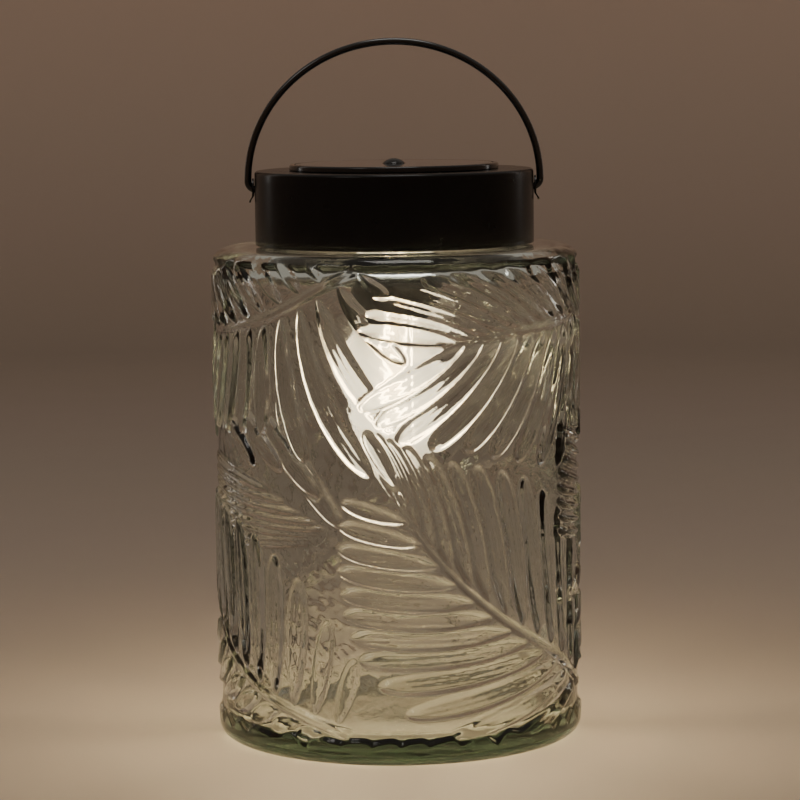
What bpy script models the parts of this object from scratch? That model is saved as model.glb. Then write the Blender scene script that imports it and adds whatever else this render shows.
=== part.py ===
"""Solar jar lantern: a pressed-glass jar, a screw-on steel lid with a solar module, and a swinging wire bail.

Units are metres and +Z is up. The origin is the centre of the jar's foot, and the bail's pivots lie along X.
"""

import math

import bmesh
import bpy
from mathutils import Matrix, Vector

# Driving dimensions of the jar
JAR_RADIUS = 0.0695
JAR_WALL = 0.0040
JAR_FLOOR = 0.0080
JAR_SHOULDER_Z = 0.1859
JAR_SHOULDER_ROUND = 0.0060
JAR_BASE_ROUND = 0.0050
FOOT_INNER_RADIUS = 0.0540
PUNT_RISE = 0.0015
NECK_RADIUS = 0.0465
NECK_WALL = 0.0040
LIP_Z = 0.2095
THREAD_DEPTH = 0.0014
THREAD_HALF_HEIGHT = 0.0014
JAR_THREADS_Z = (0.2025, 0.1955)

# Driving dimensions of the lid
LID_RADIUS = 0.0527
LID_BOTTOM_Z = 0.1867
LID_TOP_Z = 0.2146
LID_SHEET = 0.0009
LID_EDGE_ROUND = 0.0012
LID_HOLE_RADIUS = 0.0334
LID_THREADS_Z = (0.1920, 0.1990)
THREAD_RING_BOTTOM_Z = 0.1882
THREAD_RING_TOP_Z = 0.2038
SEAL_TOP_Z = 0.2131

# Driving dimensions of the bail
PIVOT_Z = 0.2076
BAIL_HALF_WIDTH = 0.0552
BAIL_HEIGHT = 0.0550
BAIL_WIRE_RADIUS = 0.00135
BAIL_BEND_RADIUS = 0.0030
BAIL_END_X = 0.0494
PUSH_NUT_X = 0.0502

# Driving dimensions of the solar module and its housing
BEZEL_RADIUS = 0.0395
BEZEL_TOP_Z = 0.2169
SPIGOT_RADIUS = 0.0330
PANEL_RADIUS = 0.0373
CELL_SIZE = (0.0180, 0.0440, 0.0005)
CELL_OFFSET = 0.0142
BUTTON_RADIUS = 0.0042
BUTTON_RISE = 0.0018
BUTTON_SHAFT_RADIUS = 0.0018
BUTTON_SHAFT_END_Z = 0.2116
COLLAR_RADIUS = 0.0058
COLLAR_BOTTOM_Z = 0.2120
COLLAR_TOP_Z = 0.2130
PANEL_THICKNESS = 0.0007
CELL_POCKET_DEPTH = 0.0011
LEAD_HOLE_Y = -0.0120
HOUSING_RADIUS = 0.0410
HOUSING_WALL = 0.0016
HOUSING_BOTTOM_Z = 0.1910
HOUSING_TOP_Z = 0.2133
CABLE_HOLE_RADIUS = 0.0060
SCREW_POST_BOTTOM_Z = 0.1955
BOARD_Z = 0.2050
BOARD_THICKNESS = 0.0012
SCREW_CIRCLE = 0.0275
SCREW_ANGLES = (210, 270, 330)

# Driving dimensions of the battery and its door
BATTERY_RADIUS = 0.0051
BATTERY_LENGTH = 0.0430
BATTERY_Y = 0.0245
BATTERY_Z = 0.1987
DOOR_SIZE = (0.0460, 0.0120, 0.0016)

# Driving dimensions of the lamp
SOCKET_RADIUS = 0.0165
SOCKET_WALL = 0.0014
SOCKET_BOTTOM_Z = 0.1606
SOCKET_TOP_WALL = 0.0020
BULB_RADIUS = 0.0204
BULB_NECK_RADIUS = 0.0146
BULB_WIDEST_Z = 0.1420
BULB_BOTTOM_Z = 0.0960
BULB_SHOULDER = 0.0175
BULB_TOP_Z = 0.1780
BULB_WALL = 0.0009
BASE_BOTTOM_Z = 0.1645
BASE_TOP_Z = 0.1868
FILAMENT_COUNT = 4
FILAMENT_RADIUS = 0.0009
FILAMENT_LENGTH = 0.0380
FILAMENT_CIRCLE = 0.0050
FILAMENT_Z = 0.1340

# Clearances and mesh fineness
GAP = 0.0003
MERGE = 0.00001
FINE_STEPS = 48
ROUND_STEPS = 36
SMALL_STEPS = 24
TINY_STEPS = 12
SHARP_ANGLE = math.radians(35)

PARTS = "solar_jar_lantern"
CUTTERS = "cutters"


# Scene and material helpers


def clear_scene():
    for obj in list(bpy.data.objects):
        bpy.data.objects.remove(obj, do_unlink=True)


def new_collection(name):
    collection = bpy.data.collections.new(name)
    bpy.context.scene.collection.children.link(collection)
    return collection


def principled(name, color, roughness, metallic=0.0, transmission=0.0):
    material = bpy.data.materials.new(name)
    material.use_nodes = True
    shader = material.node_tree.nodes["Principled BSDF"]
    shader.inputs["Base Color"].default_value = (*color, 1.0)
    shader.inputs["Roughness"].default_value = roughness
    shader.inputs["Metallic"].default_value = metallic
    shader.inputs["Transmission Weight"].default_value = transmission
    return material


def glass_tint(name):
    return principled(name, (0.72, 0.80, 0.74), 0.05, transmission=1.0)


def satin_black(name):
    return principled(name, (0.012, 0.012, 0.012), 0.35, metallic=0.1)


def black_plastic(name):
    return principled(name, (0.02, 0.02, 0.02), 0.45)


def steel(name):
    return principled(name, (0.60, 0.60, 0.62), 0.30, metallic=1.0)


def brass(name):
    return principled(name, (0.78, 0.60, 0.30), 0.35, metallic=1.0)


def place(name, data, material, collection=PARTS):
    obj = bpy.data.objects.new(name, data)
    bpy.data.collections[collection].objects.link(obj)
    if material is not None:
        data.materials.append(material)
    return obj


# Shape helpers


def arc(centre, radius, start, end, count):
    """Points of (radius, height) on an arc, from start to end degrees."""
    points = []
    for step in range(count + 1):
        angle = math.radians(start + (end - start) * step / count)
        points.append((centre[0] + radius * math.cos(angle), centre[1] + radius * math.sin(angle)))
    return points


def turned(name, profile, material, closed=True, steps=ROUND_STEPS):
    """A profile of (radius, height) points spun about Z; its outer side runs from top to bottom."""
    mesh = bpy.data.meshes.new(name)
    edges = [(index, index + 1) for index in range(len(profile) - 1)]
    if closed:
        edges.append((len(profile) - 1, 0))
    mesh.from_pydata([(radius, 0.0, height) for radius, height in profile], edges, [])
    obj = place(name, mesh, material)
    spin = obj.modifiers.new("Spin", "SCREW")
    spin.steps = steps
    spin.render_steps = steps
    spin.use_merge_vertices = True
    spin.merge_threshold = MERGE
    spin.use_smooth_shade = True
    return obj


def ring(name, inner, outer, bottom, top, material, steps=ROUND_STEPS, edge=0.0):
    """A turned ring of rectangular section, with its outer edges chamfered by edge."""
    if edge:
        corners = [(outer - edge, top), (outer, top - edge), (outer, bottom + edge), (outer - edge, bottom)]
    else:
        corners = [(outer, top), (outer, bottom)]
    return turned(name, corners + [(inner, bottom), (inner, top)], material, steps=steps)


def cylinder_mesh(name, radius, length, steps, axis="Z"):
    """A capped cylinder centred on its own origin."""
    shape = bmesh.new()
    bmesh.ops.create_cone(
        shape, cap_ends=True, cap_tris=False, segments=steps, radius1=radius, radius2=radius, depth=length
    )
    if axis == "X":
        lie_down = Matrix.Rotation(math.pi / 2, 3, "Y")
        bmesh.ops.rotate(shape, cent=(0, 0, 0), matrix=lie_down, verts=shape.verts)
    mesh = bpy.data.meshes.new(name)
    shape.to_mesh(mesh)
    shape.free()
    mesh.shade_smooth()
    mesh.set_sharp_from_angle(angle=SHARP_ANGLE)
    return mesh


def block_mesh(name, size):
    shape = bmesh.new()
    bmesh.ops.create_cube(shape, size=1.0)
    bmesh.ops.scale(shape, vec=size, verts=shape.verts)
    mesh = bpy.data.meshes.new(name)
    shape.to_mesh(mesh)
    shape.free()
    return mesh


def block(name, size, centre, material, round_edge=0.0):
    obj = place(name, block_mesh(name, size), material)
    obj.location = centre
    if round_edge:
        bevel = obj.modifiers.new("Rounded edges", "BEVEL")
        bevel.width = round_edge
        bevel.segments = 2
    return obj


def cylinder(name, radius, length, centre, material, steps=SMALL_STEPS, axis="Z"):
    obj = place(name, cylinder_mesh(name, radius, length, steps, axis), material)
    obj.location = centre
    return obj


def helper(name, mesh, centre):
    """A hidden tool for a Boolean."""
    obj = place(name, mesh, None, CUTTERS)
    obj.location = centre
    obj.hide_render = True
    obj.display_type = "WIRE"
    return obj


def combine(target, tool, operation="DIFFERENCE"):
    boolean = target.modifiers.new(tool.name, "BOOLEAN")
    boolean.operation = operation
    boolean.object = tool
    boolean.solver = "EXACT"


def drill(target, name, radius, length, centre, axis="Z", steps=SMALL_STEPS):
    combine(target, helper(name, cylinder_mesh(name, radius, length, steps, axis), centre))


def pocket(target, name, size, centre):
    combine(target, helper(name, block_mesh(name, size), centre))


def wire(name, points, radius, material, bevel_resolution=2):
    curve = bpy.data.curves.new(name, "CURVE")
    curve.dimensions = "3D"
    curve.bevel_depth = radius
    curve.bevel_resolution = bevel_resolution
    curve.use_fill_caps = True
    spline = curve.splines.new("POLY")
    spline.points.add(len(points) - 1)
    for slot, point in zip(spline.points, points):
        slot.co = (*point, 1.0)
    return place(name, curve, material)


def empty(name, location):
    obj = bpy.data.objects.new(name, None)
    obj.location = location
    obj.empty_display_size = 0.01
    bpy.data.collections[PARTS].objects.link(obj)
    return obj


def hang_on(parent, *children):
    """Parent the pieces to an empty on their joint's axis, and leave them where they are."""
    for child in children:
        child.parent = parent
        child.matrix_parent_inverse = Matrix.Translation(parent.location).inverted()


def around(radius, degrees, height):
    angle = math.radians(degrees)
    return Vector((radius * math.cos(angle), radius * math.sin(angle), height))


# The jar


def glass_jar():
    mouth = NECK_RADIUS - NECK_WALL
    inner = JAR_RADIUS - JAR_WALL
    inner_shoulder_z = JAR_SHOULDER_Z - 0.0045
    body_z = JAR_SHOULDER_Z - JAR_SHOULDER_ROUND
    profile = [(0.0, JAR_FLOOR)]
    profile += arc((inner - 0.007, JAR_FLOOR + 0.007), 0.007, -90, 0, 4)
    profile += arc((inner - 0.008, inner_shoulder_z - 0.008), 0.008, 0, 90, 3)
    profile += arc((mouth + 0.002, inner_shoulder_z + 0.002), 0.002, 270, 180, 2)
    profile += arc((mouth + NECK_WALL / 2, LIP_Z - NECK_WALL / 2), NECK_WALL / 2, 180, 0, 4)
    for thread_z in JAR_THREADS_Z:
        profile += [
            (NECK_RADIUS, thread_z + THREAD_HALF_HEIGHT),
            (NECK_RADIUS + THREAD_DEPTH, thread_z + 0.0004),
            (NECK_RADIUS + THREAD_DEPTH, thread_z - 0.0004),
            (NECK_RADIUS, thread_z - THREAD_HALF_HEIGHT),
        ]
    profile += arc((NECK_RADIUS + 0.0015, JAR_SHOULDER_Z + 0.0015), 0.0015, 180, 270, 2)
    profile += arc((JAR_RADIUS - JAR_SHOULDER_ROUND, body_z), JAR_SHOULDER_ROUND, 90, 0, 4)
    profile += arc((JAR_RADIUS - JAR_BASE_ROUND, JAR_BASE_ROUND), JAR_BASE_ROUND, 0, -90, 3)
    profile += [(FOOT_INNER_RADIUS, 0.0), (FOOT_INNER_RADIUS - 0.004, PUNT_RISE), (0.0, PUNT_RISE)]
    return turned("glass_jar", profile, glass_tint("jar_glass"), closed=False, steps=FINE_STEPS)


def seal_ring():
    material = principled("white_silicone", (0.75, 0.75, 0.72), 0.6)
    mouth = NECK_RADIUS - NECK_WALL
    outer = NECK_RADIUS + 0.0005
    return ring("seal_ring", mouth - 0.0002, outer, LIP_Z + GAP, SEAL_TOP_Z, material, edge=0.0005)


# The lid


def lid_shell():
    inner = LID_RADIUS - LID_SHEET
    under_top = LID_TOP_Z - LID_SHEET
    hem = 0.0006
    profile = [(LID_HOLE_RADIUS, LID_TOP_Z)]
    profile += arc((LID_RADIUS - LID_EDGE_ROUND, LID_TOP_Z - LID_EDGE_ROUND), LID_EDGE_ROUND, 90, 0, 3)
    profile += [
        (LID_RADIUS, LID_BOTTOM_Z),
        (inner - hem, LID_BOTTOM_Z),
        (inner - hem, LID_BOTTOM_Z + hem),
        (inner, LID_BOTTOM_Z + 2 * hem),
        (inner, under_top),
        (LID_HOLE_RADIUS, under_top),
    ]
    shell = turned("lid_shell", profile, satin_black("lid_black"), steps=FINE_STEPS)
    drill(shell, "bail_hole", 0.00175, 3 * LID_RADIUS, (0, 0, PIVOT_Z), axis="X")
    return shell


def thread_ring():
    outer = LID_RADIUS - LID_SHEET - GAP
    root = NECK_RADIUS + THREAD_DEPTH + 0.0012
    crest = NECK_RADIUS + THREAD_DEPTH + 0.0005
    profile = [(outer, THREAD_RING_TOP_Z), (outer, THREAD_RING_BOTTOM_Z), (root, THREAD_RING_BOTTOM_Z)]
    for thread_z in LID_THREADS_Z:
        profile += [(root, thread_z - 0.0010), (crest, thread_z), (root, thread_z + 0.0010)]
    profile += [(root, THREAD_RING_TOP_Z)]
    return turned("thread_ring", profile, black_plastic("liner_black"))


def solar_bezel():
    """A flanged dish that drops into the lid's hole: pockets for the cells on top, screw posts below."""
    recess_z = BEZEL_TOP_Z - PANEL_THICKNESS - GAP
    under_flange = LID_TOP_Z + GAP
    plate_z = HOUSING_TOP_Z
    hole = BUTTON_RADIUS + GAP
    edge = 0.0007
    profile = [(PANEL_RADIUS + GAP, BEZEL_TOP_Z)]
    profile += arc((BEZEL_RADIUS - edge, BEZEL_TOP_Z - edge), edge, 90, 0, 3)
    profile += [
        (BEZEL_RADIUS, under_flange),
        (SPIGOT_RADIUS, under_flange),
        (SPIGOT_RADIUS, plate_z - 0.0018),
        (SPIGOT_RADIUS - 0.0016, plate_z - 0.0018),
        (SPIGOT_RADIUS - 0.0016, plate_z),
        (hole, plate_z),
        (hole, recess_z),
        (PANEL_RADIUS + GAP, recess_z),
    ]
    bezel = turned("solar_bezel", profile, principled("bezel_black", (0.012, 0.012, 0.013), 0.15))
    post_top = plate_z + 0.0005
    for angle in SCREW_ANGLES:
        middle = around(SCREW_CIRCLE, angle, (SCREW_POST_BOTTOM_Z + post_top) / 2)
        post = cylinder_mesh(f"post_{angle}", 0.0030, post_top - SCREW_POST_BOTTOM_Z, TINY_STEPS)
        combine(bezel, helper(f"post_{angle}", post, middle), "UNION")
        mouth = around(SCREW_CIRCLE, angle, SCREW_POST_BOTTOM_Z + 0.001)
        drill(bezel, f"pilot_{angle}", 0.0014, 0.018, mouth, steps=TINY_STEPS)
    for name, side in (("pocket_left", -1), ("pocket_right", 1)):
        width, depth, _ = CELL_SIZE
        size = (width + 2 * GAP, depth + 2 * GAP, 2 * CELL_POCKET_DEPTH)
        pocket(bezel, name, size, (side * CELL_OFFSET, 0, recess_z))
        lead_hole = (side * CELL_OFFSET, LEAD_HOLE_Y, plate_z)
        drill(bezel, f"{name}_lead_hole", 0.0008, 0.006, lead_hole, steps=TINY_STEPS)
    return bezel


def solar_cells():
    material = principled("silicon_blue", (0.015, 0.02, 0.05), 0.2)
    height = BEZEL_TOP_Z - PANEL_THICKNESS - CELL_POCKET_DEPTH + CELL_SIZE[2] / 2
    names = {"solar_cell_left": -1, "solar_cell_right": 1}
    return [block(name, CELL_SIZE, (side * CELL_OFFSET, 0, height), material) for name, side in names.items()]


def panel_cover():
    material = principled("clear_resin", (0.02, 0.02, 0.025), 0.06, transmission=0.6)
    bottom = BEZEL_TOP_Z - PANEL_THICKNESS
    return ring("panel_cover", BUTTON_RADIUS + GAP, PANEL_RADIUS, bottom, BEZEL_TOP_Z, material)


def housing():
    """The battery housing: a cup that hangs in the jar's neck, with a doorway in its floor."""
    floor_top = HOUSING_BOTTOM_Z + HOUSING_WALL
    inner = HOUSING_RADIUS - HOUSING_WALL
    edge = 0.0010
    profile = [
        (HOUSING_RADIUS, HOUSING_TOP_Z),
        (HOUSING_RADIUS, HOUSING_BOTTOM_Z + edge),
        (HOUSING_RADIUS - edge, HOUSING_BOTTOM_Z),
        (CABLE_HOLE_RADIUS, HOUSING_BOTTOM_Z),
        (CABLE_HOLE_RADIUS, floor_top),
        (inner, floor_top),
        (inner, HOUSING_TOP_Z),
    ]
    cup = turned("battery_housing", profile, black_plastic("housing_black"))
    width, depth, height = DOOR_SIZE
    doorway = (width + 2 * GAP, depth + 2 * GAP, 3 * height)
    pocket(cup, "doorway", doorway, (0, BATTERY_Y, HOUSING_BOTTOM_Z + height / 2))
    for angle in SCREW_ANGLES:
        spot = around(SCREW_CIRCLE, angle, HOUSING_BOTTOM_Z)
        drill(cup, f"screw_hole_{angle}", 0.0015, 0.006, spot, steps=TINY_STEPS)
    return cup


def housing_screws():
    material = steel("screw_steel")
    head_top = HOUSING_BOTTOM_Z - GAP
    head_bottom = head_top - 0.0015
    shank = 0.0103
    screws = []
    for number, angle in enumerate(SCREW_ANGLES, start=1):
        profile = [
            (0.0, head_top + shank),
            (0.0011, head_top + shank - 0.0005),
            (0.0011, head_top),
            (0.0026, head_top),
            (0.0026, head_top - 0.0008),
            (0.0018, head_bottom),
            (0.0, head_bottom),
        ]
        screw = turned(f"housing_screw_{number}", profile, material, closed=False, steps=TINY_STEPS)
        spot = around(SCREW_CIRCLE, angle, 0)
        screw.location = spot
        pocket(screw, f"slot_{number}", (0.0032, 0.0006, 0.0012), (spot.x, spot.y, head_bottom))
        screws.append(screw)
    return screws


def circuit_board():
    material = principled("board_green", (0.02, 0.16, 0.07), 0.4)
    middle = BOARD_Z + BOARD_THICKNESS / 2
    board = cylinder("circuit_board", 0.0365, BOARD_THICKNESS, (0, 0, middle), material, steps=ROUND_STEPS)
    for angle in SCREW_ANGLES:
        spot = around(SCREW_CIRCLE, angle, middle)
        drill(board, f"board_hole_{angle}", 0.0034, 0.004, spot, steps=TINY_STEPS)
    return board


def tact_switch():
    bottom = BOARD_Z + BOARD_THICKNESS + GAP
    size = (0.0060, 0.0060, 0.0034)
    body = block("tact_switch", size, (0, 0, bottom + size[2] / 2), black_plastic("switch_black"))
    drill(body, "plunger_bore", 0.0020, 0.0040, (0, 0, bottom + 0.0032), steps=TINY_STEPS)
    return body


def battery():
    material = principled("battery_sleeve", (0.05, 0.30, 0.12), 0.35)
    half = BATTERY_LENGTH / 2
    nub = 0.0010
    profile = [
        (0.0, half),
        (0.0018, half),
        (0.0018, half - nub),
        (BATTERY_RADIUS - 0.0004, half - nub),
        (BATTERY_RADIUS, half - nub - 0.0004),
        (BATTERY_RADIUS, 0.0004 - half),
        (BATTERY_RADIUS - 0.0004, -half),
        (0.0, -half),
    ]
    cell = turned("battery", profile, material, closed=False, steps=SMALL_STEPS)
    cell.rotation_euler = (0, math.pi / 2, 0)
    cell.location = (0, BATTERY_Y, BATTERY_Z)
    return cell


def battery_contacts():
    material = steel("contact_steel")
    reach = BATTERY_LENGTH / 2 + GAP + 0.0003
    sides = {"contact_plate_negative": -1, "contact_plate_positive": 1}
    size = (0.0006, 0.0090, 0.0090)
    return [block(name, size, (side * reach, BATTERY_Y, BATTERY_Z), material) for name, side in sides.items()]


def solar_leads():
    material = principled("lead_red", (0.5, 0.02, 0.02), 0.5)
    top = BEZEL_TOP_Z - PANEL_THICKNESS - GAP - CELL_POCKET_DEPTH - 0.0002
    bottom = BOARD_Z + BOARD_THICKNESS + GAP
    leads = []
    for name, side in (("solar_lead_left", -1), ("solar_lead_right", 1)):
        x = side * CELL_OFFSET
        inner_x = x * 0.8
        inner_y = LEAD_HOLE_Y + 0.001
        points = [(x, LEAD_HOLE_Y, top), (x, LEAD_HOLE_Y, top - 0.0036)]
        points += [(inner_x, inner_y, bottom + 0.002), (inner_x, inner_y, bottom)]
        leads.append(wire(name, points, 0.0004, material, bevel_resolution=1))
    return leads


# The lamp


def lamp_socket():
    top = HOUSING_BOTTOM_Z - GAP
    inner = SOCKET_RADIUS - SOCKET_WALL
    profile = [
        (SOCKET_RADIUS, top),
        (SOCKET_RADIUS, SOCKET_BOTTOM_Z + 0.0006),
        (SOCKET_RADIUS - 0.0006, SOCKET_BOTTOM_Z),
        (inner, SOCKET_BOTTOM_Z),
        (inner, top - SOCKET_TOP_WALL),
        (CABLE_HOLE_RADIUS, top - SOCKET_TOP_WALL),
        (CABLE_HOLE_RADIUS, top),
    ]
    return turned("lamp_socket", profile, black_plastic("socket_black"), steps=32)


def bulb_glass():
    """An egg-shaped envelope with an open neck, so its inside isn't sealed."""
    height = BULB_WIDEST_Z - BULB_BOTTOM_Z

    def below(radius, depth, angles):
        turns = [math.radians(angle) for angle in angles]
        return [(radius * math.cos(turn), BULB_WIDEST_Z + depth * math.sin(turn)) for turn in turns]

    def above(radius, neck):
        """From the widest circle up into the neck, by a smooth half wave."""
        points = []
        for share in (0.25, 0.5, 0.75, 1.0):
            blend = (1 - math.cos(math.pi * share)) / 2
            points.append((radius + (neck - radius) * blend, BULB_WIDEST_Z + BULB_SHOULDER * share))
        return points

    inner_radius = BULB_RADIUS - BULB_WALL
    inner_neck = BULB_NECK_RADIUS - BULB_WALL
    angles = (-90, -75, -60, -45, -30, -15, 0)
    inside = below(inner_radius, height - BULB_WALL, angles) + above(inner_radius, inner_neck)
    outside = below(BULB_RADIUS, height, angles) + above(BULB_RADIUS, BULB_NECK_RADIUS)
    inside[0] = (0.0, BULB_BOTTOM_Z + BULB_WALL)
    outside[0] = (0.0, BULB_BOTTOM_Z)
    profile = inside + [(inner_neck, BULB_TOP_Z), (BULB_NECK_RADIUS, BULB_TOP_Z)] + outside[::-1]
    return turned("bulb_glass", profile, glass_tint("bulb_clear"), closed=False, steps=SMALL_STEPS)


def bulb_base():
    """The brass plug that closes the bulb's neck, with a contact on top."""
    radius = BULB_NECK_RADIUS - BULB_WALL - GAP
    tip = 0.0030
    profile = [
        (0.0, BASE_TOP_Z),
        (tip, BASE_TOP_Z),
        (tip, BASE_TOP_Z - 0.0010),
        (radius - 0.0040, BASE_TOP_Z - 0.0020),
        (radius, BASE_TOP_Z - 0.0053),
        (radius, BASE_BOTTOM_Z + 0.0010),
        (radius - 0.0010, BASE_BOTTOM_Z),
        (0.0, BASE_BOTTOM_Z),
    ]
    return turned("bulb_base", profile, brass("base_brass"), closed=False, steps=SMALL_STEPS)


def filament_stem():
    """A glass stem down the middle of the bulb, from a foot under the base to a bead below the filaments."""
    top = BASE_BOTTOM_Z - GAP
    bottom = FILAMENT_Z - FILAMENT_LENGTH / 2 - 0.0042
    rod = 0.0010
    profile = [(0.0, top), (0.0060, top), (0.0060, top - 0.003), (0.0020, top - 0.006), (rod, top - 0.009)]
    profile += [(rod, bottom + 0.0020), (0.0016, bottom + 0.0016), (0.0016, bottom + 0.0004), (0.0, bottom)]
    return turned("filament_stem", profile, glass_tint("stem_glass"), closed=False, steps=TINY_STEPS)


def led_filaments():
    material = principled("filament_yellow", (1.0, 0.75, 0.30), 0.4)
    filaments = []
    for number in range(1, FILAMENT_COUNT + 1):
        spot = around(FILAMENT_CIRCLE, 45 + 360 * number / FILAMENT_COUNT, FILAMENT_Z)
        name = f"led_filament_{number}"
        filaments.append(cylinder(name, FILAMENT_RADIUS, FILAMENT_LENGTH, spot, material, steps=8))
    return filaments


def lamp_leads():
    material = principled("lead_black", (0.02, 0.02, 0.02), 0.5)
    bottom = BASE_TOP_Z + GAP
    leads = []
    for name, side in (("lamp_lead_left", -1), ("lamp_lead_right", 1)):
        x = side * 0.0022
        points = [(x, 0, BOARD_Z - GAP), (x * 1.3, 0.001, 0.1990), (x, 0, 0.1930), (x * 0.8, 0, bottom)]
        leads.append(wire(name, points, 0.0005, material, bevel_resolution=1))
    return leads


# The pieces that move on the lid


def push_button():
    """A domed cap with a shaft; its collar keeps it under the bezel."""
    rim_z = BEZEL_TOP_Z + 0.0001
    sphere = (BUTTON_RADIUS**2 + BUTTON_RISE**2) / (2 * BUTTON_RISE)
    centre_z = rim_z + BUTTON_RISE - sphere
    rim_angle = math.degrees(math.asin((rim_z - centre_z) / sphere))
    profile = arc((0.0, centre_z), sphere, 90, rim_angle, 5)
    profile[0] = (0.0, rim_z + BUTTON_RISE)
    profile += [
        (BUTTON_RADIUS, COLLAR_TOP_Z),
        (COLLAR_RADIUS, COLLAR_TOP_Z),
        (COLLAR_RADIUS, COLLAR_BOTTOM_Z),
        (BUTTON_SHAFT_RADIUS, COLLAR_BOTTOM_Z),
        (BUTTON_SHAFT_RADIUS, BUTTON_SHAFT_END_Z),
        (0.0, BUTTON_SHAFT_END_Z),
    ]
    material = principled("button_black", (0.01, 0.01, 0.01), 0.25)
    return turned("push_button", profile, material, closed=False, steps=SMALL_STEPS)


def switch_plunger():
    top = BUTTON_SHAFT_END_Z - GAP
    bottom = BOARD_Z + BOARD_THICKNESS + GAP + 0.0022
    middle = (0, 0, (top + bottom) / 2)
    material = principled("plunger_white", (0.8, 0.8, 0.78), 0.4)
    return cylinder("switch_plunger", 0.0016, top - bottom, middle, material, steps=TINY_STEPS)


def button_spring():
    turns = 3.5
    per_turn = 10
    bottom = BOARD_Z + BOARD_THICKNESS + GAP + 0.0004
    top = COLLAR_BOTTOM_Z - GAP - 0.0004
    points = []
    for step in range(int(turns * per_turn) + 1):
        share = step / (turns * per_turn)
        points.append(around(0.0050, 360 * turns * share, bottom + (top - bottom) * share))
    return wire("button_spring", points, 0.0003, steel("spring_steel"), bevel_resolution=1)


def battery_door():
    width, depth, height = DOOR_SIZE
    centre = (0, BATTERY_Y, HOUSING_BOTTOM_Z + height / 2)
    door = block("battery_door", DOOR_SIZE, centre, black_plastic("door_black"))
    for number in range(3):
        x = width / 2 - 0.005 - 0.0020 * number
        pocket(door, f"grip_groove_{number}", (0.0006, depth * 0.6, 0.0008), (x, BATTERY_Y, HOUSING_BOTTOM_Z))
    return door


def bail_path():
    """The bail's centreline about its pivot: a straight end, a bend, the arch, a bend, a straight end."""
    turn = BAIL_BEND_RADIUS
    half = [(BAIL_END_X, 0.0)]
    half += arc((BAIL_HALF_WIDTH - turn, turn), turn, -90, 0, 5)
    steps = 14
    for step in range(1, steps + 1):
        angle = math.pi / 2 * step / steps
        half.append((BAIL_HALF_WIDTH * math.cos(angle), turn + (BAIL_HEIGHT - turn) * math.sin(angle)))
    left = [(-x, 0.0, z) for x, z in half]
    right = [(x, 0.0, z) for x, z in half[-2::-1]]
    return left + right


def bail_handle():
    handle = wire("bail_handle", bail_path(), BAIL_WIRE_RADIUS, satin_black("bail_black"))
    handle.location = (0, 0, PIVOT_Z)
    return handle


def push_nuts():
    """A star washer on each end of the bail, inside the lid."""
    material = steel("push_nut_steel")
    nuts = []
    for name, side in (("push_nut_left", -1), ("push_nut_right", 1)):
        nut = ring(name, BAIL_WIRE_RADIUS + GAP, 0.0030, -0.0003, 0.0003, material, steps=16)
        nut.rotation_euler = (0, math.pi / 2, 0)
        nut.location = (side * PUSH_NUT_X, 0, PIVOT_Z)
        nuts.append(nut)
    return nuts


def bail_ear(name, side):
    """A pressed oval eyelet on the lid's wall; its lower lip curls outwards under the bail."""
    inner = LID_RADIUS + GAP
    thickness = 0.0006
    outline = [
        (inner, 0.0052),
        (inner, -0.0024),
        (inner + 0.0004, -0.0031),
        (inner + 0.0010, -0.0037),
        (inner + 0.0013, -0.0044),
        (inner + 0.0010, -0.0054),
    ]
    half_width = 0.0042
    mesh = bpy.data.meshes.new(name)
    points = [(side * x, y, z) for x, z in outline for y in (-half_width, half_width)]
    last = 2 * len(outline) - 2
    faces = [(row, row + 1, row + 3, row + 2)[::side] for row in range(0, last, 2)]
    mesh.from_pydata(points, [], faces)
    ear = place(name, mesh, satin_black(f"{name}_black"))
    ear.location = (0, 0, PIVOT_Z)
    sheet = ear.modifiers.new("Sheet", "SOLIDIFY")
    sheet.thickness = thickness
    sheet.offset = -1.0
    oval = cylinder_mesh(f"{name}_oval", 1.0, 0.02, SMALL_STEPS, axis="X")
    oval.transform(Matrix.Diagonal((1.0, 0.0040, 0.0046, 1.0)))
    combine(ear, helper(f"{name}_oval", oval, (side * inner, 0, PIVOT_Z - 0.0004)), "INTERSECT")
    drill(ear, f"{name}_eye", 0.0023, 0.01, (side * inner, 0, PIVOT_Z), axis="X")
    return ear


def main():
    clear_scene()
    new_collection(PARTS)
    new_collection(CUTTERS)
    glass_jar()
    lid_axis = empty("lid_axis", (0, 0, LIP_Z))
    hang_on(lid_axis, seal_ring(), lid_shell(), thread_ring(), solar_bezel(), *solar_cells(), panel_cover())
    hang_on(lid_axis, housing(), *housing_screws(), circuit_board(), tact_switch(), *solar_leads())
    hang_on(lid_axis, battery(), *battery_contacts(), lamp_socket(), bulb_glass(), bulb_base(), *lamp_leads())
    hang_on(lid_axis, filament_stem(), *led_filaments())
    hang_on(lid_axis, bail_ear("bail_ear_left", -1), bail_ear("bail_ear_right", 1))
    hang_on(empty("button_axis", (0, 0, BEZEL_TOP_Z)), push_button(), switch_plunger(), button_spring())
    hang_on(empty("door_axis", (0, BATTERY_Y, HOUSING_BOTTOM_Z)), battery_door())
    hang_on(empty("bail_pivot", (0, 0, PIVOT_Z)), bail_handle(), *push_nuts())


main()
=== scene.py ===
"""Looks for the solar jar lantern: pressed leaf-relief glass, satin black lid and bail, and a lit clear bulb.

Units are metres unless a name ends in _MM. The front of the lantern faces -Y.
"""

import math

import bmesh
import bpy
import numpy as np
from mathutils import Matrix, Vector


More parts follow.
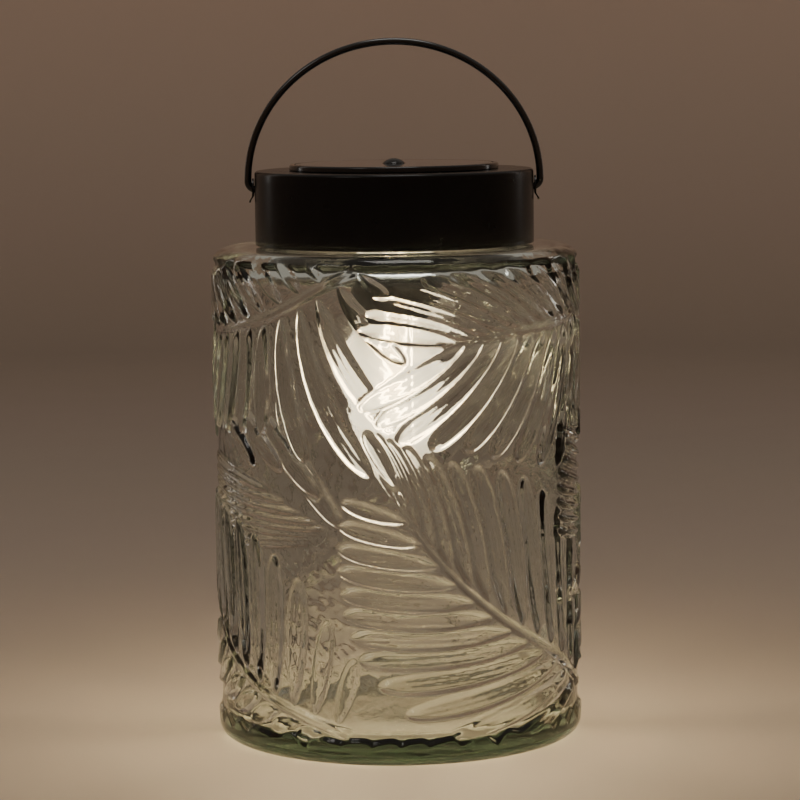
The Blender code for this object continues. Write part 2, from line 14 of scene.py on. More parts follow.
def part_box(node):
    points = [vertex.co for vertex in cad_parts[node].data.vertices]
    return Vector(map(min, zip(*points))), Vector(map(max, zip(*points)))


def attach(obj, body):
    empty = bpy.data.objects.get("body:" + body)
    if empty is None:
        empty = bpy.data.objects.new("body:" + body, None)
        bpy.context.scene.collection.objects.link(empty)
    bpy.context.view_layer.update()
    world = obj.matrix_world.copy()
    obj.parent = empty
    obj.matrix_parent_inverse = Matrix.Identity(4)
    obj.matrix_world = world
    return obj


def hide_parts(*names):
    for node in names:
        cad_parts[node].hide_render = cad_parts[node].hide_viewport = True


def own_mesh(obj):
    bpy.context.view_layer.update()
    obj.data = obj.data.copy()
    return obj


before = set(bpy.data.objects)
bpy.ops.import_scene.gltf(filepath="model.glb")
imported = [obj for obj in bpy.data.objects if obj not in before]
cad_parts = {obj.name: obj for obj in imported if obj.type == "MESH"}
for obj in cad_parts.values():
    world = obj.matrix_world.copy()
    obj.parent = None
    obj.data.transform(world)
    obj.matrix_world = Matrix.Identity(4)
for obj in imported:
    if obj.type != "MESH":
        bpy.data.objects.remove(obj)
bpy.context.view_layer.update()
MM = 0.001

# Camera, as worked out from the outline of the lid, the shoulder and the foot
CAMERA_DISTANCE = 1.151
CAMERA_PITCH = 6.53
CAMERA_ROLL = -0.71
CAMERA_LENS = 135.9
AIM_HEIGHT = 0.1268
LAMP_TARGET = Vector((0, 0, 0.12))
FRAME_SHIFT_X = 0.0041

BUTTON_HOLE = 4.5 * MM

# Heights above the foot, as in the CAD part
GLOW_BOTTOM = 96 * MM
GLOW_TOP = 176 * MM
LAMP_MIDDLE_Z = 134 * MM
BULB_WIDEST_Z = 142 * MM
THREAD_Z = (192.0 * MM, 199.0 * MM)
PIVOT_Z = 207.6 * MM
BUTTON_TIP_Z = 211.6 * MM
COLLAR_BOTTOM_Z = 212.0 * MM
COLLAR_TOP_Z = 213.0 * MM
BEZEL_PLATE_Z = 213.3 * MM


# Shape helpers


def link(name, mesh, materials=()):
    obj = bpy.data.objects.new(name, mesh)
    bpy.context.scene.collection.objects.link(obj)
    for material in materials:
        mesh.materials.append(material)
    return obj


def mesh_from_grid(name, grid, close_start, close_end):
    """A closed skin from rows of points; each row is a ring, and the ends may close on the axis."""
    rows, columns, _ = grid.shape
    points = [tuple(point) for point in grid.reshape(-1, 3)]
    ring = np.arange(columns)
    turn = np.roll(ring, -1)
    faces = []
    for row in range(rows - 1):
        low = row * columns
        high = low + columns
        quads = np.stack([low + ring, low + turn, high + turn, high + ring], axis=1)
        faces.extend(quads.tolist())
    if close_start is not None:
        centre = len(points)
        points.append(close_start)
        faces.extend([[centre, int(b), int(a)] for a, b in zip(ring, turn)])
    if close_end is not None:
        centre = len(points)
        points.append(close_end)
        last = (rows - 1) * columns
        faces.extend([[centre, int(last + a), int(last + b)] for a, b in zip(ring, turn)])
    if close_start is None and close_end is None:
        last = (rows - 1) * columns
        quads = np.stack([last + ring, last + turn, turn, ring], axis=1)
        faces.extend(quads.tolist())
    mesh = bpy.data.meshes.new(name)
    mesh.from_pydata(points, [], faces)
    mesh.shade_smooth()
    return mesh


def outward(mesh):
    shape = bmesh.new()
    shape.from_mesh(mesh)
    bmesh.ops.recalc_face_normals(shape, faces=shape.faces)
    shape.to_mesh(mesh)
    shape.free()


def arc(centre, radius, start, end, count):
    """Points of (radius, height) on an arc, from start to end degrees."""
    turns = [math.radians(start + (end - start) * step / count) for step in range(count + 1)]
    return [(centre[0] + radius * math.cos(turn), centre[1] + radius * math.sin(turn)) for turn in turns]


def rings(radius, height, turns):
    """A grid of points from each ring's radius and height; the first column is at the front."""
    grid = np.zeros((len(height), len(turns), 3))
    grid[:, :, 0] = radius * np.sin(turns)
    grid[:, :, 1] = -radius * np.cos(turns)
    grid[:, :, 2] = height
    return grid


def turned(name, profile, materials=(), steps=128, sharp=35):
    """A profile of (radius, height) spun about Z. A point on the axis at either end closes that end."""
    start = (0.0, 0.0, profile[0][1]) if profile[0][0] == 0 else None
    end = (0.0, 0.0, profile[-1][1]) if profile[-1][0] == 0 else None
    rim = np.array([point for point in profile if point[0] > 0])
    turns = np.linspace(0, 2 * math.pi, steps, endpoint=False)
    mesh = mesh_from_grid(name, rings(rim[:, :1], rim[:, 1:], turns), start, end)
    outward(mesh)
    mesh.set_sharp_from_angle(angle=math.radians(sharp))
    return link(name, mesh, materials)


def stand_in(obj, body, slot, *nodes):
    """The piece shows in place of CAD nodes, on their body; the slot argument is not used."""
    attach(obj, body)
    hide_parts(*nodes)
    return obj


# Material helpers


class Nodes:
    """A material's node tree with short calls to add and join nodes."""

    def __init__(self, name):
        self.material = bpy.data.materials.new(name)
        self.material.use_nodes = True
        self.tree = self.material.node_tree
        self.shader = self.tree.nodes["Principled BSDF"]
        self.output = self.tree.nodes["Material Output"]

    def add(self, kind, **values):
        node = self.tree.nodes.new(kind)
        for name, value in values.items():
            if name in node.inputs:
                node.inputs[name].default_value = value
            else:
                setattr(node, name, value)
        return node

    def join(self, source, target):
        self.tree.links.new(source, target)

    def set(self, **values):
        for name, value in values.items():
            self.shader.inputs[name.replace("_", " ")].default_value = value

    def place(self):
        return self.add("ShaderNodeTexCoord").outputs["Object"]

    def noise(self, scale, detail=3.0, roughness=0.5, vector=None):
        node = self.add("ShaderNodeTexNoise", Scale=scale, Detail=detail, Roughness=roughness)
        self.join(vector or self.place(), node.inputs["Vector"])
        return node.outputs["Fac"]

    def ramp(self, source, *stops):
        node = self.add("ShaderNodeValToRGB")
        while len(node.color_ramp.elements) < len(stops):
            node.color_ramp.elements.new(0.5)
        for element, (position, color) in zip(node.color_ramp.elements, stops):
            element.position = position
            element.color = (*color, 1.0)
        self.join(source, node.inputs["Fac"])
        return node.outputs["Color"]

    def range(self, source, low, high, from_low=0.0, from_high=1.0):
        node = self.add("ShaderNodeMapRange")
        node.inputs["From Min"].default_value = from_low
        node.inputs["From Max"].default_value = from_high
        node.inputs["To Min"].default_value = low
        node.inputs["To Max"].default_value = high
        self.join(source, node.inputs["Value"])
        return node.outputs["Result"]

    def bump(self, source, strength, distance, normal=None):
        node = self.add("ShaderNodeBump", Strength=strength, Distance=distance)
        self.join(source, node.inputs["Height"])
        if normal is not None:
            self.join(normal, node.inputs["Normal"])
        return node.outputs["Normal"]

    def color(self, source, *stops):
        self.join(self.ramp(source, *stops), self.shader.inputs["Base Color"])

    def roughness(self, source, low, high, from_low=0.0, from_high=1.0):
        self.join(self.range(source, low, high, from_low, from_high), self.shader.inputs["Roughness"])

    def normal(self, source):
        self.join(source, self.shader.inputs["Normal"])


def let_lamps_through(nodes, share):
    """Lets most of a lamp's light through clear glass, so that what stands in it isn't in full shadow."""
    path = nodes.add("ShaderNodeLightPath")
    scale = nodes.add("ShaderNodeMath", operation="MULTIPLY")
    scale.inputs[1].default_value = share
    nodes.join(path.outputs["Is Shadow Ray"], scale.inputs[0])
    clear = nodes.add("ShaderNodeBsdfTransparent")
    mix = nodes.add("ShaderNodeMixShader")
    nodes.join(scale.outputs[0], mix.inputs["Fac"])
    nodes.join(nodes.shader.outputs["BSDF"], mix.inputs[1])
    nodes.join(clear.outputs["BSDF"], mix.inputs[2])
    nodes.join(mix.outputs["Shader"], nodes.output.inputs["Surface"])


def pressed_glass():
    """Soda glass: its green tint shows where it is thick, and a cool mould has left small waves on it."""
    nodes = Nodes("pressed_glass")
    nodes.set(Transmission_Weight=1.0, IOR=1.51)
    nodes.set(Base_Color=(0.97, 0.98, 0.965, 1.0))
    nodes.roughness(nodes.noise(35.0), 0.0, 0.03, 0.5, 0.8)
    chill = nodes.bump(nodes.noise(110.0, detail=2.0), strength=0.35, distance=0.0005)
    grain = nodes.noise(420.0, detail=4.0)
    nodes.normal(nodes.bump(grain, strength=0.22, distance=0.0002, normal=chill))
    tint = nodes.add("ShaderNodeVolumeAbsorption", Color=(0.55, 0.74, 0.60, 1.0), Density=23.0)
    nodes.join(tint.outputs["Volume"], nodes.output.inputs["Volume"])
    let_lamps_through(nodes, share=0.85)
    return nodes.material


def lit_bulb_glass():
    """A lightly frosted bulb: the filaments show as a soft column, and its skin glows most beside them."""
    nodes = Nodes("lit_bulb_glass")
    nodes.set(Transmission_Weight=1.0, IOR=1.45, Base_Color=(1.0, 0.985, 0.95, 1.0))
    axes = nodes.add("ShaderNodeSeparateXYZ")
    nodes.join(nodes.place(), axes.inputs[0])
    height = nodes.range(axes.outputs["Z"], 0.0, 1.0, GLOW_BOTTOM, GLOW_TOP)
    glow_at_height = ((0.0, 0.12), (0.3, 0.42), (0.55, 0.36), (0.85, 0.01))
    glow = nodes.ramp(height, *((place, (strength,) * 3) for place, strength in glow_at_height))
    nodes.join(glow, nodes.shader.inputs["Emission Strength"])
    nodes.set(Emission_Color=(1.0, 0.86, 0.62, 1.0))
    nodes.roughness(nodes.noise(80.0), 0.12, 0.22, 0.3, 0.7)
    nodes.normal(nodes.bump(nodes.noise(900.0, detail=2.0), strength=0.05, distance=0.0001))
    let_lamps_through(nodes, share=0.95)
    return nodes.material


def clear_glass(name):
    nodes = Nodes(name)
    nodes.set(Transmission_Weight=1.0, IOR=1.47)
    nodes.set(Base_Color=(0.985, 0.99, 0.985, 1.0))
    nodes.roughness(nodes.noise(60.0), 0.0, 0.03, 0.4, 0.8)
    nodes.normal(nodes.bump(nodes.noise(120.0), strength=0.05, distance=0.0002))
    let_lamps_through(nodes, share=0.92)
    return nodes.material


def satin_black(name, roughness, gloss=0.0):
    """Black paint with a soft orange peel and faint handling marks; gloss adds a clear top coat."""
    nodes = Nodes(name)
    nodes.set(Specular_IOR_Level=0.25, Coat_Weight=gloss, Coat_Roughness=0.1)
    cloud = nodes.noise(25.0, detail=4.0)
    nodes.color(cloud, (0.3, (0.0020, 0.0020, 0.0022)), (0.75, (0.0042, 0.0042, 0.0045)))
    nodes.roughness(nodes.noise(140.0, detail=4.0), roughness - 0.05, roughness + 0.10)
    peel = nodes.bump(nodes.noise(1500.0, detail=2.0), strength=0.10, distance=0.00006)
    nodes.normal(nodes.bump(nodes.noise(60.0), strength=0.06, distance=0.0003, normal=peel))
    return nodes.material


def moulded_plastic(name, color, roughness, grain=900.0):
    nodes = Nodes(name)
    darker = tuple(0.7 * part for part in color)
    nodes.color(nodes.noise(40.0), (0.35, darker), (0.7, color))
    nodes.roughness(nodes.noise(200.0), roughness - 0.06, roughness + 0.08)
    nodes.normal(nodes.bump(nodes.noise(grain, detail=2.0), strength=0.15, distance=0.00008))
    return nodes.material


def bare_metal(name, color, roughness):
    nodes = Nodes(name)
    nodes.set(Metallic=1.0)
    darker = tuple(0.75 * part for part in color)
    nodes.color(nodes.noise(180.0, detail=4.0), (0.3, darker), (0.7, color))
    nodes.roughness(nodes.noise(400.0), roughness - 0.08, roughness + 0.1)
    nodes.normal(nodes.bump(nodes.noise(800.0), strength=0.08, distance=0.00005))
    return nodes.material


def glowing_phosphor():
    """The filament's yellow coat, lit, and mottled by the silicone."""
    nodes = Nodes("glowing_phosphor")
    nodes.set(Roughness=0.5, Emission_Strength=700.0)
    mottled = nodes.noise(900.0, detail=2.0)
    light = nodes.ramp(mottled, (0.2, (1.0, 0.72, 0.36)), (0.8, (1.0, 0.86, 0.60)))
    nodes.join(light, nodes.shader.inputs["Emission Color"])
    nodes.color(mottled, (0.2, (0.9, 0.6, 0.2)), (0.8, (1.0, 0.75, 0.3)))
    return nodes.material


def solar_silicon():
    """Dark blue silicon with thin silver fingers and two wider busbars."""
    nodes = Nodes("solar_silicon")
    nodes.set(Roughness=0.25, Coat_Weight=0.6, Coat_Roughness=0.08)
    place = nodes.place()
    axes = nodes.add("ShaderNodeSeparateXYZ")
    nodes.join(place, axes.inputs[0])

    def stripes(axis, spacing, width):
        scaled = nodes.add("ShaderNodeMath", operation="DIVIDE")
        scaled.inputs[1].default_value = spacing
        nodes.join(axes.outputs[axis], scaled.inputs[0])
        part = nodes.add("ShaderNodeMath", operation="FRACT")
        nodes.join(scaled.outputs[0], part.inputs[0])
        line = nodes.add("ShaderNodeMath", operation="LESS_THAN")
        line.inputs[1].default_value = width / spacing
        nodes.join(part.outputs[0], line.inputs[0])
        return line.outputs[0]

    fingers = stripes("Y", spacing=1.8 * MM, width=0.22 * MM)
    busbars = stripes("X", spacing=9.0 * MM, width=0.6 * MM)
    lines = nodes.add("ShaderNodeMath", operation="MAXIMUM")
    nodes.join(fingers, lines.inputs[0])
    nodes.join(busbars, lines.inputs[1])
    grains = nodes.noise(300.0, detail=4.0)
    silicon = nodes.ramp(grains, (0.3, (0.006, 0.008, 0.022)), (0.7, (0.012, 0.017, 0.05)))
    mix = nodes.add("ShaderNodeMix", data_type="RGBA")
    nodes.join(lines.outputs[0], mix.inputs["Factor"])
    nodes.join(silicon, mix.inputs["A"])
    mix.inputs["B"].default_value = (0.35, 0.36, 0.38, 1.0)
    nodes.join(mix.outputs["Result"], nodes.shader.inputs["Base Color"])
    return nodes.material


# The leaf relief lies on the jar's wall unrolled, in mm: across is the way round from the front, and up is
# the height over the foot

JAR_LOW, JAR_HIGH = (Vector(corner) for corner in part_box("glass_jar"))
WALL_MM = (JAR_HIGH.x - JAR_LOW.x) / 2 / MM
GROUND_MM = WALL_MM - 1.3
RIB_RISE_MM = 1.5
LEAF_RISE_MM = 1.5
LEAF_TILT = 0.25
LEAF_START_MM = 1.6
RIB_STEPS = 40
EDGE_MM = 1.7
EDGE_ROUNDING = 1.4
FULL_RISE_HALF_MM = 2.2
CREASE_HALF_MM = 0.7
VEIN_RISE_MM = 0.07
VEIN_PITCH_MM = 2.3
ROUND_MM = 2 * math.pi * WALL_MM
REPEATS = 2
COLUMNS = 768
INNER_COLUMNS = 96
SHOULDER_MM = 185.9
SHOULDER_ROUND_MM = 6.0
RELIEF_BOTTOM_MM = 8.0
RELIEF_TOP_MM = 182.0
WALL_BOTTOM_MM = RELIEF_BOTTOM_MM - 2.0
WALL_TOP_MM = RELIEF_TOP_MM + 2.2
WALL_ROWS = 280
SEAM_MM = 5.0
SEAM_RISE_MM = 0.12
SEAM_WIDTH_MM = 0.35


def along(values, share):
    """A smooth value between evenly spaced values, at a share from 0 to 1."""
    place = share * (len(values) - 1)
    return float(np.interp(place, range(len(values)), values))


def spine(points, count):
    """A smooth curve through points of (across, up), as count + 1 points."""
    points = np.array(points, float)
    knots = np.concatenate([[0], np.cumsum(np.hypot(*np.diff(points, axis=0).T))])
    padded = np.vstack([2 * points[0] - points[1], points, 2 * points[-1] - points[-2]])
    steps = np.linspace(0, knots[-1], count + 1)
    curve = []
    for step in steps:
        index = min(int(np.searchsorted(knots, step, side="right")) - 1, len(points) - 2)
        part = (step - knots[index]) / (knots[index + 1] - knots[index])
        before, start, end, after = padded[index : index + 4]
        curve.append(
            0.5
            * (
                2 * start
                + (end - before) * part
                + (2 * before - 5 * start + 4 * end - after) * part**2
                + (3 * start - before - 3 * end + after) * part**3
            )
        )
    return np.array(curve)


def leaf_curve(base, angle, length, bend, count=8):
    """A leaflet's middle line: it leaves its base at angle degrees and turns by bend degrees on the way."""
    turns = np.radians(angle + bend * (np.arange(count) + 0.5) / count)
    step = length / count
    moves = np.stack([np.cos(turns), np.sin(turns)], axis=1) * step
    return np.vstack([base, base + np.cumsum(moves, axis=0)])


class Relief:
    """Height over the ground on a grid of the unrolled wall."""

    def __init__(self, across, up):
        self.across = across
        self.up = up
        self.height = np.zeros((len(up), len(across)))

    def near(self, line, margin):
        """Rows and columns near a line, how far it is, on which side, and the share of it passed there."""
        rows = np.nonzero((self.up > line[:, 1].min() - margin) & (self.up < line[:, 1].max() + margin))[0]
        middle = (line[:, 0].min() + line[:, 0].max()) / 2
        reach = (line[:, 0].max() - line[:, 0].min()) / 2 + margin
        offset = (self.across - middle + ROUND_MM / 2) % ROUND_MM - ROUND_MM / 2
        columns = np.nonzero(np.abs(offset) < reach)[0]
        if not len(rows) or not len(columns):
            return None
        x = (middle + offset[columns])[None, :]
        y = self.up[rows][:, None]
        best = np.full((len(rows), len(columns)), 1e9)
        side = np.zeros_like(best)
        share = np.zeros_like(best)
        pieces = len(line) - 1
        for index in range(pieces):
            start = line[index]
            move = line[index + 1] - start
            size = float(move @ move)
            part = ((x - start[0]) * move[0] + (y - start[1]) * move[1]) / size
            low = -1.0 if index == 0 else 0.0
            high = 2.0 if index == pieces - 1 else 1.0
            part = np.clip(part, low, high)
            gap_x = x - start[0] - part * move[0]
            gap_y = y - start[1] - part * move[1]
            gap = np.hypot(gap_x, gap_y)
            closer = gap < best
            best = np.where(closer, gap, best)
            side = np.where(closer, np.sign(move[0] * gap_y - move[1] * gap_x), side)
            share = np.where(closer, (index + part) / pieces, share)
        return rows, columns, best, side, share

    def press(self, line, width, rise, outline, tilt=0.0, crease=0.0, moat=0.5):
        """Raises a flat strip with rounded edges along the line.

        A narrow moat is cleared round it in what lies beneath. tilt lifts its left edge and lowers its right
        one, and crease sinks a groove along its middle.
        """
        found = self.near(line, width + 2.0)
        if found is None:
            return
        rows, columns, gap, side, share = found
        half = width / 2 * outline(np.clip(share, 0, 1))
        inside = (share > 0) & (share < 1)
        half = np.where(inside, half, 0.0)
        edge = np.clip((half - gap) / EDGE_MM, 0, 1)
        across = side * gap / np.maximum(half, 0.5)
        rounded = 1 - (1 - edge) ** EDGE_ROUNDING
        lump = rise * rounded * (1 + tilt * across) * np.clip(half / FULL_RISE_HALF_MM, 0, 1)
        lump = lump * (1 - crease * np.exp(-((gap / CREASE_HALF_MM) ** 2)))
        lump = lump + VEIN_RISE_MM * edge * np.cos(2 * math.pi * gap / VEIN_PITCH_MM)
        lump = np.where(inside, lump, 0.0)
        under = np.clip((gap - half) / moat, 0, 1)
        under = np.where(inside, under, 1.0)
        block = np.ix_(rows, columns)
        self.height[block] = np.maximum(self.height[block] * under, lump)


def leaf_outline(share):
    """Half-width of a leaflet: pointed where it leaves the rib, fullest past the middle, round at its tip."""
    return np.clip(share, 0, 1) ** 0.62 * (1 - np.clip(share, 0, 1)) ** 0.42 / 0.4955


def rib_outline(share):
    """Half-width of a rib: nearly even, and thinner towards the frond's tip."""
    return np.clip(1 - share, 0, 1) ** 0.35


def frond(relief, shift, rib, rib_width, sides):
    """A palm frond: a curved rib with a row of leaflets on each side.

    Each side gives the leaflets' count, the span of the rib they grow from, and their angles, lengths, widths
    and bends, which change evenly from the frond's base to its tip. A side may also have a rise of its own.
    """
    line = spine(rib, RIB_STEPS) + np.array([shift, 0.0])
    for side in sides:
        first, last = side["span"]
        for number in range(side["count"]):
            share = number / max(side["count"] - 1, 1)
            place = (first + (last - first) * share) * RIB_STEPS
            index = min(int(place), RIB_STEPS - 1)
            base = line[index] + (line[index + 1] - line[index]) * (place - index)
            angle = along(side["angles"], share)
            heading = np.array([math.cos(math.radians(angle)), math.sin(math.radians(angle))])
            start = base + heading * LEAF_START_MM
            curve = leaf_curve(start, angle, along(side["lengths"], share), along(side["bends"], share))
            rise = side.get("rise", LEAF_RISE_MM)
            relief.press(curve, along(side["widths"], share), rise, leaf_outline, tilt=LEAF_TILT)
    relief.press(line, rib_width, RIB_RISE_MM, rib_outline, crease=0.45)


def side_frond(relief, shift):
    """Narrow leaflets that come round from the jar's side, between the upper and the lower fronds."""
    frond(
        relief,
        shift,
        rib=[(-116, 70), (-112, 84), (-110, 98), (-109, 112)],
        rib_width=3.0,
        sides=[
            {
                "count": 8,
                "span": (0.18, 0.95),
                "angles": (2, -6, -12),
                "lengths": (84, 82, 56),
                "widths": (5.0, 5.2, 5.0),
                "bends": (4, 4),
            },
            {
                "count": 8,
                "span": (0.18, 0.95),
                "angles": (176, 172, 166),
                "lengths": (32, 34, 30),
                "widths": (4.8, 5.0, 4.8),
                "bends": (-6, -6),
            },
        ],
    )


def hanging_leaves(relief, shift):
    """Loose leaflets that show between the tips of the upper left frond."""
    frond(
        relief,
        shift,
        rib=[(-44, 138), (-56, 136), (-68, 132), (-80, 126)],
        rib_width=1.5,
        sides=[
            {
                "count": 4,
                "span": (0.12, 0.98),
                "angles": (-76, -60, -50, -46),
                "lengths": (56, 46, 32, 24),
                "widths": (9.4, 9.0, 8.4, 7.4),
                "bends": (32, 20, 10, 4),
            },
        ],
    )


def upper_left_frond(relief, shift):
    frond(
        relief,
        shift,
        rib=[(-15, 181), (-31, 173), (-52, 163.5), (-80, 157.5), (-110, 156)],
        rib_width=4.2,
        sides=[
            {
                "count": 12,
                "span": (0.00, 0.95),
                "angles": (-45, -70, -86, -96, -104, -112, -118, -122),
                "lengths": (14, 52, 70, 42, 40, 40, 38, 34),
                "widths": (5.0, 9.0, 10.0, 9.6, 9.2, 8.8, 8.4, 7.6),
                "bends": (20, 28, 38, 12, 6, 4, 0, 0),
            },
            {
                "count": 11,
                "span": (0.04, 0.98),
                "angles": (118, 136, 142, 146, 150),
                "lengths": (10, 22, 28, 32, 32),
                "widths": (5.0, 6.8, 7.6, 7.6, 7.0),
                "bends": (-10, -10),
            },
        ],
    )


def upper_right_frond(relief, shift):
    frond(
        relief,
        shift,
        rib=[(104, 166), (86, 161), (67, 158.5), (47, 157), (24, 154)],
        rib_width=3.6,
        sides=[
            {
                "count": 11,
                "span": (0.02, 0.96),
                "angles": (-84, -100, -112, -122, -134, -146),
                "lengths": (52, 56, 54, 52, 56, 46),
                "widths": (8.0, 9.4, 10.0, 10.4, 10.2, 9.0),
                "bends": (-10, -10),
            },
            {
                "count": 12,
                "span": (0.02, 0.99),
                "angles": (118, 138, 146, 152, 160, 170),
                "lengths": (20, 30, 38, 46, 50, 38),
                "widths": (6.0, 7.0, 7.6, 7.8, 7.4, 7.0),
                "bends": (4, 4),
                "rise": 0.8,
            },
        ],
    )


def large_lower_frond(relief, shift):
    frond(
        relief,
        shift,
        rib=[(96, 20), (72, 34.4), (48, 47.5), (30, 60.6), (16, 74.5), (6, 88), (0, 101)],
        rib_width=4.4,
        sides=[
            {
                "count": 14,
                "span": (0.03, 1.0),
                "angles": (84, 90, 94, 98, 104, 108, 112, 116),
                "lengths": (40, 56, 62, 60, 54, 50, 40, 24),
                "widths": (7.4, 9.0, 9.8, 9.8, 9.4, 9.0, 8.4, 6.6),
                "bends": (6, 6),
            },
            {
                "count": 12,
                "span": (0.04, 0.90),
                "angles": (202, 194, 186, 181, 177, 172, 166),
                "lengths": (56, 72, 72, 62, 50, 38, 26),
                "widths": (7.5, 9.2, 9.6, 9.4, 9.0, 8.0, 6.4),
                "bends": (-5, -5),
            },
        ],
    )


def lower_left_frond(relief, shift):
    frond(
        relief,
        shift,
        rib=[(-19, 11.5), (-38, 17.3), (-55, 23), (-72, 31), (-90, 41), (-106, 56), (-112, 72)],
        rib_width=4.6,
        sides=[
            {
                "count": 12,
                "span": (0.05, 0.94),
                "angles": (72, 86, 91, 95, 101, 110),
                "lengths": (26, 50, 58, 56, 46, 30),
                "widths": (6.5, 9.2, 9.6, 9.6, 9.0, 7.0),
                "bends": (3, 3),
            },
            {
                "count": 10,
                "span": (0.06, 0.94),
                "angles": (196, 206, 212, 216, 206),
                "lengths": (14, 18, 22, 26, 26),
                "widths": (6.4, 7.4, 8.0, 8.0, 7.0),
                "bends": (-8, -8),
            },
        ],
    )


def press_leaves(relief):
    """The mould's two halves carry the same leaves, so the pattern repeats round the jar."""
    for number in range(REPEATS):
        shift = number * ROUND_MM / REPEATS
        side_frond(relief, shift)
        lower_left_frond(relief, shift)
        hanging_leaves(relief, shift)
        upper_left_frond(relief, shift)
        upper_right_frond(relief, shift)
        large_lower_frond(relief, shift)


def smooth_step(values, low, high):
    part = np.clip((values - low) / (high - low), 0, 1)
    return part * part * (3 - 2 * part)


def round_at(height_mm):
    """The smooth wall's radius at a height, with the shoulder's rounding."""
    over = np.clip(height_mm - (SHOULDER_MM - SHOULDER_ROUND_MM), 0, SHOULDER_ROUND_MM)
    return WALL_MM - SHOULDER_ROUND_MM + np.sqrt(SHOULDER_ROUND_MM**2 - over**2)


def wall_grid():
    """The outer wall's rings from the shoulder down to the foot, with the leaves raised on it."""
    turns = np.linspace(0, 2 * math.pi, COLUMNS, endpoint=False)
    across = turns * WALL_MM
    up = np.linspace(WALL_TOP_MM, WALL_BOTTOM_MM, WALL_ROWS)
    relief = Relief(across, up)
    press_leaves(relief)
    scallops = np.abs(np.sin(turns * 17 + 0.8 * np.sin(turns * 5))) + 0.25 * np.sin(turns * 41 + 2.0)
    bottom_edge = RELIEF_BOTTOM_MM + 2.6 * scallops[None, :]
    top_edge = RELIEF_TOP_MM - 0.6 + 0.5 * scallops[None, :]
    rows = up[:, None]
    sunk = smooth_step(rows, bottom_edge - 0.9, bottom_edge + 0.9)
    sunk = sunk * (1 - smooth_step(rows, top_edge - 1.2, top_edge + 1.2))
    smooth = round_at(rows)
    leaves = smooth - (WALL_MM - GROUND_MM) + relief.height + chill_marks(turns, rows)
    radius = smooth + (leaves - smooth) * sunk
    for half in range(REPEATS):
        seam = (across - SEAM_MM - half * ROUND_MM / REPEATS + ROUND_MM / 2) % ROUND_MM - ROUND_MM / 2
        radius = radius + SEAM_RISE_MM * np.exp(-((seam / SEAM_WIDTH_MM) ** 2))[None, :]
    return rings(radius, rows, turns) * MM


def chill_marks(turns, rows):
    """The faint unevenness of pressed glass, as slow ripples that close on themselves round the jar."""
    ripple = 0.05 * np.sin(turns * 23 + rows * 0.31) * np.sin(rows * 0.47 - turns * 9)
    return ripple + 0.03 * np.sin(turns * 71 + 0.9 * np.sin(rows * 0.6)) * np.sin(rows * 1.1 + turns * 17)


def stitched(name, inner, outer):
    """One closed skin from an inner and an outer grid of rings, where the inner one has fewer columns."""
    few = inner.shape[1]
    many = outer.shape[1]
    step = many // few
    points = [tuple(point) for point in np.vstack([inner.reshape(-1, 3), outer.reshape(-1, 3)])]
    faces = []
    for grid, first in ((inner, 0), (outer, inner.shape[0] * few)):
        ring = np.arange(grid.shape[1])
        turn = np.roll(ring, -1)
        for row in range(grid.shape[0] - 1):
            low = first + row * grid.shape[1]
            high = low + grid.shape[1]
            faces.extend(np.stack([low + ring, low + turn, high + turn, high + ring], axis=1).tolist())
    edge = (inner.shape[0] - 1) * few
    start = inner.shape[0] * few
    for column in range(few):
        here = edge + column
        there = edge + (column + 1) % few
        for number in range(step):
            near = start + column * step + number
            far = start + (column * step + number + 1) % many
            faces.append([here if number < step // 2 else there, far, near])
        faces.append([here, there, start + column * step + step // 2])
    for centre, first, count in ((inner[0], 0, few), (outer[-1], start + (outer.shape[0] - 1) * many, many)):
        middle = len(points)
        points.append((0.0, 0.0, float(centre[0, 2])))
        faces.extend([[middle, first + number, first + (number + 1) % count] for number in range(count)])
    mesh = bpy.data.meshes.new(name)
    mesh.from_pydata(points, [], faces)
    mesh.shade_smooth()
    outward(mesh)
    return mesh


def ring_rows(profile_mm, columns):
    """Smooth rings in metres, one for each (radius, height) of the profile in mm."""
    profile = np.array(profile_mm, float)
    turns = np.linspace(0, 2 * math.pi, columns, endpoint=False)
    return rings(profile[:, :1], profile[:, 1:], turns) * MM


def neck_thread(neck):
    """The neck's outside, with one raised thread that climbs it and fades out at both ends."""
    pitch = 7.0
    rise = 1.3
    half_width = 0.95
    top, bottom, middle = 207.0, 189.5, 199.0
    row_step = 0.5
    turns = np.linspace(0, 2 * math.pi, COLUMNS, endpoint=False)
    rows = np.arange(top, bottom, -row_step)[:, None]
    offset = (rows - middle - pitch * turns[None, :] / (2 * math.pi)) % pitch
    gap = np.minimum(offset, pitch - offset)
    fade = smooth_step(rows, bottom + 3, bottom + 5) * (1 - smooth_step(rows, top - 3.5, top - 1.5))
    radius = neck + rise * np.exp(-((gap / half_width) ** 2)) * fade
    return rings(radius, rows, turns) * MM


